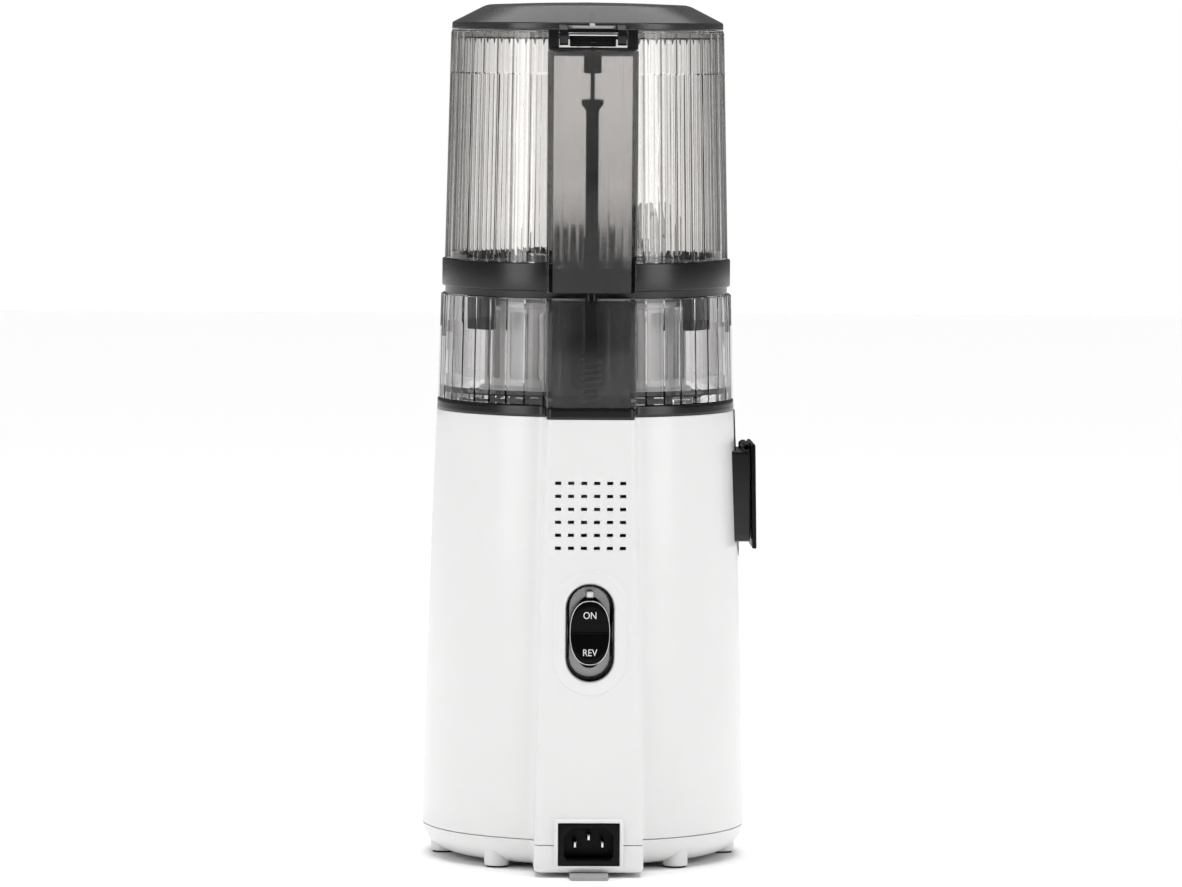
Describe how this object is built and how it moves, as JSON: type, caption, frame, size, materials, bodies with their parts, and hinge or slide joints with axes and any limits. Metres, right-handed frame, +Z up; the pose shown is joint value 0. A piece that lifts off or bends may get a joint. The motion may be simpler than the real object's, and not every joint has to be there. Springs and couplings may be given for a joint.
{
  "type": "vertical slow juicer",
  "caption": "Tall kitchen juicer: white oval-round motor base, clear ribbed drum and hopper with hinged lid, side pulp outlet, rear rocker switch.",
  "frame": {"origin": "on the auger axis, at the plane the feet stand on", "axes": "+Z up along the auger axis; -Y is the front with the juice spout; +Y is the back with the switch and power inlet; -X is the side with the pulp outlet"},
  "size_m": [0.173, 0.2212, 0.4445],
  "materials": {
    "white_shell": "gloss",
    "black_satin": "satin",
    "black_gloss": "gloss",
    "grey_plastic": "satin",
    "pale_plastic": "satin",
    "gear_plastic": "satin",
    "smoke_clear": "clear gloss",
    "smoke_dark": "clear gloss",
    "bezel_grey": "satin",
    "steel": "brushed",
    "bright_metal": "polished",
    "aluminium": "cast",
    "copper": "enamelled wire",
    "rubber": "matte",
    "silicone": "matte",
    "circuit_board": "satin"
  },
  "bodies": {
    "base": {"body_shell": "white_shell", "base_cover": "white_shell", "rubber_feet": "rubber", "rear_stand_tab": "grey_plastic", "housing_screws": "steel", "top_deck": "black_satin", "spout_apron": "black_satin", "switch_bezel": "bezel_grey", "switch_body": "black_satin", "power_inlet": "black_satin", "inlet_pins": "bright_metal", "motor_stator": "steel", "stator_windings": "copper", "lower_motor_frame": "aluminium", "upper_motor_frame": "aluminium", "motor_bearings": "bright_metal", "output_bearings": "bright_metal", "shaft_seal": "silicone", "gearbox_cover": "aluminium", "gearbox_housing": "aluminium", "motor_mounts": "rubber", "control_board": "circuit_board", "board_components": "black_satin", "lid_microswitch": "black_satin", "pulp_spout": "black_satin", "pulp_flap_pin": "steel"},
    "rocker": {"rocker_switch": "black_gloss"},
    "rotor": {"motor_rotor": "steel", "cooling_fan": "black_satin", "motor_pinion": "steel"},
    "lay": {"lay_gear": "gear_plastic", "lay_pinion": "steel", "lay_shaft": "steel"},
    "output": {"output_gear": "steel", "output_shaft": "bright_metal"},
    "plunger": {"switch_plunger": "grey_plastic"},
    "flap": {"pulp_flap": "black_satin"},
    "chamber": {"drum": "smoke_clear", "drum_channel": "smoke_dark", "drum_seal": "silicone", "filter_basket": "pale_plastic", "filter_mesh": "bright_metal", "juice_spout": "smoke_dark", "juice_cap_pin": "steel", "rod_spring": "steel"},
    "lower_rod": {"lower_interlock_rod": "grey_plastic"},
    "cap": {"juice_cap": "black_satin"},
    "screw": {"auger": "pale_plastic", "auger_socket": "bright_metal", "cutting_wing": "smoke_clear"},
    "feed": {"hopper": "smoke_clear", "hopper_collar": "black_satin", "hopper_tooth_ring": "black_satin", "interlock_channel": "smoke_clear", "hinge_bracket": "black_satin", "hinge_pin": "bright_metal"},
    "upper_rod": {"upper_interlock_rod": "grey_plastic"},
    "cover": {"lid": "smoke_dark", "lid_striker": "black_satin", "lid_gasket": "silicone"}
  },
  "joints": [
    {"name": "rocker_switch", "type": "hinge", "parent": "base", "child": "rocker", "pos_m": [0, 0.09329, 0.12462], "axis": [1, 0, 0], "range_deg": [-8, 8]},
    {"name": "chamber_lift", "type": "slide", "parent": "base", "child": "chamber", "axis": [0, 0, 1], "range_m": [0, 0.06]},
    {"name": "hopper_lift", "type": "slide", "parent": "chamber", "child": "feed", "axis": [0, 0, 1], "range_m": [0, 0.06]},
    {"name": "lid_hinge", "type": "hinge", "parent": "feed", "child": "cover", "pos_m": [0, 0.088, 0.428], "axis": [-1, 0, 0], "range_deg": [0, 105]},
    {"name": "upper_rod_slide", "type": "slide", "parent": "feed", "child": "upper_rod", "axis": [0, 0, 1], "range_m": [0, 0.004]},
    {"name": "lower_rod_slide", "type": "slide", "parent": "chamber", "child": "lower_rod", "axis": [0, 0, 1], "range_m": [0, 0.004], "deforming": ["rod_spring"]},
    {"name": "plunger_slide", "type": "slide", "parent": "base", "child": "plunger", "axis": [0, 0, 1], "range_m": [0, 0.004]},
    {"name": "auger_spin", "type": "hinge", "parent": "chamber", "child": "screw", "pos_m": [0, 0, 0.25], "axis": [0, 0, 1], "continuous": true},
    {"name": "output_spin", "type": "hinge", "parent": "base", "child": "output", "pos_m": [0, 0, 0.2], "axis": [0, 0, 1], "continuous": true},
    {"name": "lay_spin", "type": "hinge", "parent": "base", "child": "lay", "pos_m": [0.03, 0, 0.17], "axis": [0, 0, 1], "continuous": true},
    {"name": "rotor_spin", "type": "hinge", "parent": "base", "child": "rotor", "pos_m": [0, 0, 0.1], "axis": [0, 0, 1], "continuous": true},
    {"name": "pulp_flap_hinge", "type": "hinge", "parent": "base", "child": "flap", "pos_m": [-0.0835, 0, 0.214], "axis": [0, 1, 0], "range_deg": [0, 60]},
    {"name": "juice_cap_hinge", "type": "hinge", "parent": "chamber", "child": "cap", "pos_m": [0, -0.102, 0.269], "axis": [-1, 0, 0], "range_deg": [0, 100]}
  ],
  "couplings": [
    {"joint": "upper_rod_slide", "follows": "lid_hinge", "m_per_rad": 0.0021826},
    {"joint": "lower_rod_slide", "follows": "lid_hinge", "m_per_rad": 0.0021826},
    {"joint": "plunger_slide", "follows": "lid_hinge", "m_per_rad": 0.0021826},
    {"joint": "output_spin", "follows": "auger_spin", "ratio": 1},
    {"joint": "lay_spin", "follows": "auger_spin", "ratio": -5},
    {"joint": "rotor_spin", "follows": "auger_spin", "ratio": 26.25}
  ]
}
